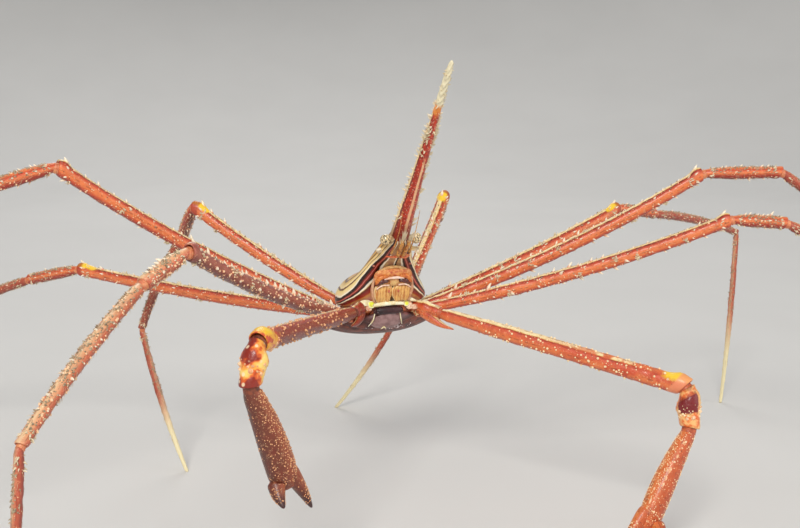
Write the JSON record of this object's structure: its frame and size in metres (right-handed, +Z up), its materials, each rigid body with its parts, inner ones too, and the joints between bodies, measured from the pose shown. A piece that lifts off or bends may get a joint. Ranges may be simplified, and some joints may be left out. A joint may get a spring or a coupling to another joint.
{
  "type": "arrow crab",
  "caption": "Still, life-size arrow crab standing on long thin legs, with a spiny pointed rostrum, a small pear-shaped body and slender claws hanging from bent arms.",
  "frame": {"origin": "on the floor, under the middle of the box round the whole animal", "axes": "+Z up, the face looks towards -Y, and the animal's left side is towards +X"},
  "size_m": [0.1832, 0.133, 0.0694],
  "materials": {
    "orange_shell": "semi-matt orange-red shell with cream stripes",
    "maroon_shell": "semi-matt maroon shell with tan granules",
    "carapace_shell": "smooth shell with cream, gold and brown stripes",
    "rostrum_shell": "red-brown shell with cream lines, spinules and tip",
    "mouth_shell": "smooth tan plates with cream edges",
    "abdomen_shell": "shiny dark brown-purple shell",
    "tan_feeler": "semi-matt tan",
    "eye_cream": "shiny cream with a fine dark net"
  },
  "bodies": {
    "root": {"carapace": "carapace_shell", "rostrum": "rostrum_shell", "thorax": "orange_shell", "abdomen": "abdomen_shell", "maxilliped_l": "mouth_shell", "maxilliped_r": "mouth_shell", "eye_l": "eye_cream", "eye_r": "eye_cream", "antennule_l": "tan_feeler", "antennule_r": "tan_feeler", "antenna_l": "tan_feeler", "antenna_r": "tan_feeler", "claw_arm_l_ischium": "orange_shell", "claw_arm_l_merus": "orange_shell", "claw_arm_l_carpus": "orange_shell", "claw_l_palm": "orange_shell", "claw_l_finger": "orange_shell", "claw_arm_r_ischium": "maroon_shell", "claw_arm_r_merus": "maroon_shell", "claw_arm_r_carpus": "maroon_shell", "claw_r_palm": "maroon_shell", "claw_r_finger": "maroon_shell", "leg_l2_merus": "orange_shell", "leg_l2_carpus": "orange_shell", "leg_l2_propodus": "orange_shell", "leg_l2_dactyl": "orange_shell", "leg_l3_merus": "orange_shell", "leg_l3_carpus": "orange_shell", "leg_l3_propodus": "orange_shell", "leg_l3_dactyl": "orange_shell", "leg_l4_merus": "orange_shell", "leg_l4_carpus": "orange_shell", "leg_l4_propodus": "orange_shell", "leg_l4_dactyl": "orange_shell", "leg_l5_merus": "orange_shell", "leg_l5_carpus": "orange_shell", "leg_l5_propodus": "orange_shell", "leg_l5_dactyl": "orange_shell", "leg_r2_merus": "orange_shell", "leg_r2_carpus": "orange_shell", "leg_r2_propodus": "orange_shell", "leg_r2_dactyl": "orange_shell", "leg_r3_merus": "orange_shell", "leg_r3_carpus": "orange_shell", "leg_r3_propodus": "orange_shell", "leg_r3_dactyl": "orange_shell", "leg_r4_merus": "orange_shell", "leg_r4_carpus": "orange_shell", "leg_r4_propodus": "orange_shell", "leg_r4_dactyl": "orange_shell", "leg_r5_merus": "orange_shell", "leg_r5_carpus": "orange_shell", "leg_r5_propodus": "orange_shell", "leg_r5_dactyl": "orange_shell"}
  },
  "joints": []
}
